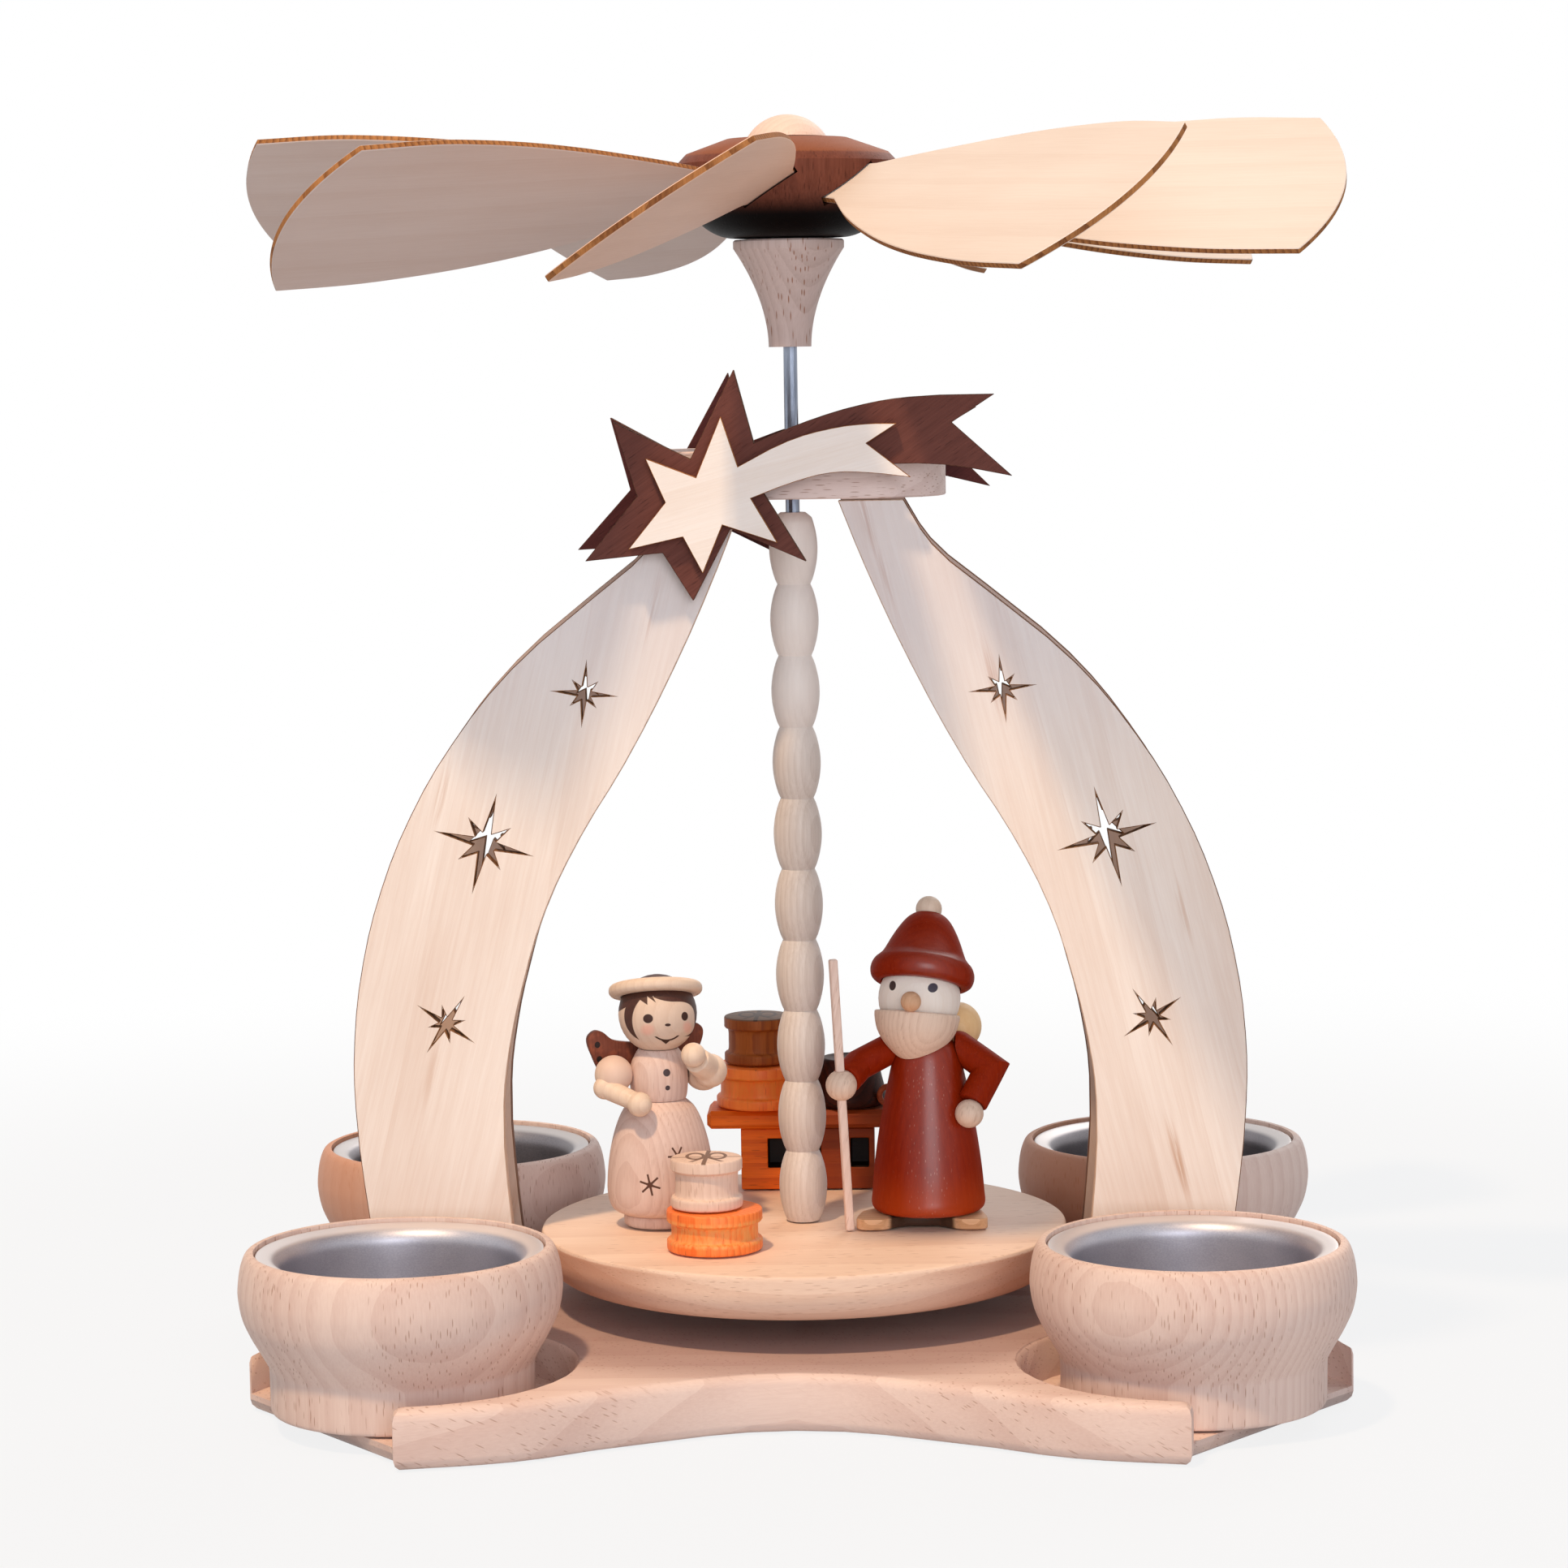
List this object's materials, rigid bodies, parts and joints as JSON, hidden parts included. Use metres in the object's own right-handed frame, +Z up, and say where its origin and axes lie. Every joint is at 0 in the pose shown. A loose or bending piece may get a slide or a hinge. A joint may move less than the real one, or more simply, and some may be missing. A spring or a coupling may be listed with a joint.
{
  "type": "christmas pyramid",
  "caption": "Table Christmas pyramid: candle-driven fan turns a shaft with a figure turntable between wooden arches, on a board with tea-light cups.",
  "frame": {"origin": "middle of the base board's underside, on the shaft's axis", "axes": "+Z up along the shaft, -Y towards the viewer of the picture, +X to the viewer's right"},
  "size_m": [0.1979, 0.1975, 0.2268],
  "materials": {
    "beech": "bare steamed beech with fine flecks",
    "pale_beech": "bare pale wood, turned smooth",
    "alder": "bare pale wood plate, sawn edges a little scorched",
    "birch_plywood": "thin birch plywood, scorched cut edges",
    "walnut_stain": "dark walnut stain, satin",
    "maple": "bare cream-coloured maple",
    "satin_aluminium": "satin pressed sheet",
    "steel": "drawn steel wire",
    "red_brown_paint": "red-brown stain, satin",
    "orange_stain": "orange stain, satin",
    "rust_stain": "rust-brown stain, satin",
    "pale_yellow": "pale yellow stain"
  },
  "bodies": {
    "stand": {"base_board": "beech", "pivot_bearing": "steel", "arch_left_front": "alder", "arch_left_back": "alder", "arch_right_front": "alder", "arch_right_back": "alder", "crossbar": "beech", "comet_front_dark": "walnut_stain", "comet_front_light": "maple", "comet_back_dark": "walnut_stain", "comet_back_light": "maple", "candle_cup_front_left": "beech", "candle_cup_front_right": "beech", "candle_cup_back_left": "beech", "candle_cup_back_right": "beech"},
    "rotor": {"shaft": "steel", "column": "pale_beech", "turntable": "beech", "angel_skirt": "beech", "angel_bust": "beech", "angel_head": "maple", "angel_hat_ring": "maple", "angel_wings": "red_brown_paint", "angel_arm_left": "maple", "angel_arm_right": "maple", "santa_shoes": "rust_stain", "santa_coat": "red_brown_paint", "santa_head": "maple", "santa_beard": "beech", "santa_nose": "beech", "santa_hat": "red_brown_paint", "santa_pom": "maple", "santa_arm_left": "red_brown_paint", "santa_arm_right": "red_brown_paint", "santa_staff": "beech", "santa_sack": "pale_yellow", "gift_drum_front": "orange_stain", "gift_box_front": "beech", "gift_drum_rear": "orange_stain", "gift_box_rear": "rust_stain", "gift_basket": "rust_stain", "sledge_board": "rust_stain", "sledge_stand": "rust_stain", "sledge_ring": "rust_stain"},
    "fan": {"fan_hub": "walnut_stain", "fan_knob": "pale_beech", "fan_socket": "beech", "fan_blade_1": "birch_plywood", "fan_blade_2": "birch_plywood", "fan_blade_3": "birch_plywood", "fan_blade_4": "birch_plywood", "fan_blade_5": "birch_plywood", "fan_blade_6": "birch_plywood", "fan_blade_7": "birch_plywood", "fan_blade_8": "birch_plywood"},
    "tray_front_left": {"candle_tray_front_left": "satin_aluminium"},
    "tray_front_right": {"candle_tray_front_right": "satin_aluminium"},
    "tray_back_left": {"candle_tray_back_left": "satin_aluminium"},
    "tray_back_right": {"candle_tray_back_right": "satin_aluminium"}
  },
  "joints": [
    {"name": "rotor_spin", "type": "hinge", "parent": "stand", "child": "rotor", "pos_m": [0, 0, 0.0104], "axis": [0, 0, 1], "continuous": true},
    {"name": "fan_lift_off", "type": "slide", "parent": "rotor", "child": "fan", "axis": [0, 0, 1], "range_m": [0, 0.03]},
    {"name": "tray_lift_out_front_left", "type": "slide", "parent": "stand", "child": "tray_front_left", "axis": [0, 0, 1], "range_m": [0, 0.025]},
    {"name": "tray_lift_out_front_right", "type": "slide", "parent": "stand", "child": "tray_front_right", "axis": [0, 0, 1], "range_m": [0, 0.025]},
    {"name": "tray_lift_out_back_left", "type": "slide", "parent": "stand", "child": "tray_back_left", "axis": [0, 0, 1], "range_m": [0, 0.025]},
    {"name": "tray_lift_out_back_right", "type": "slide", "parent": "stand", "child": "tray_back_right", "axis": [0, 0, 1], "range_m": [0, 0.025]}
  ]
}
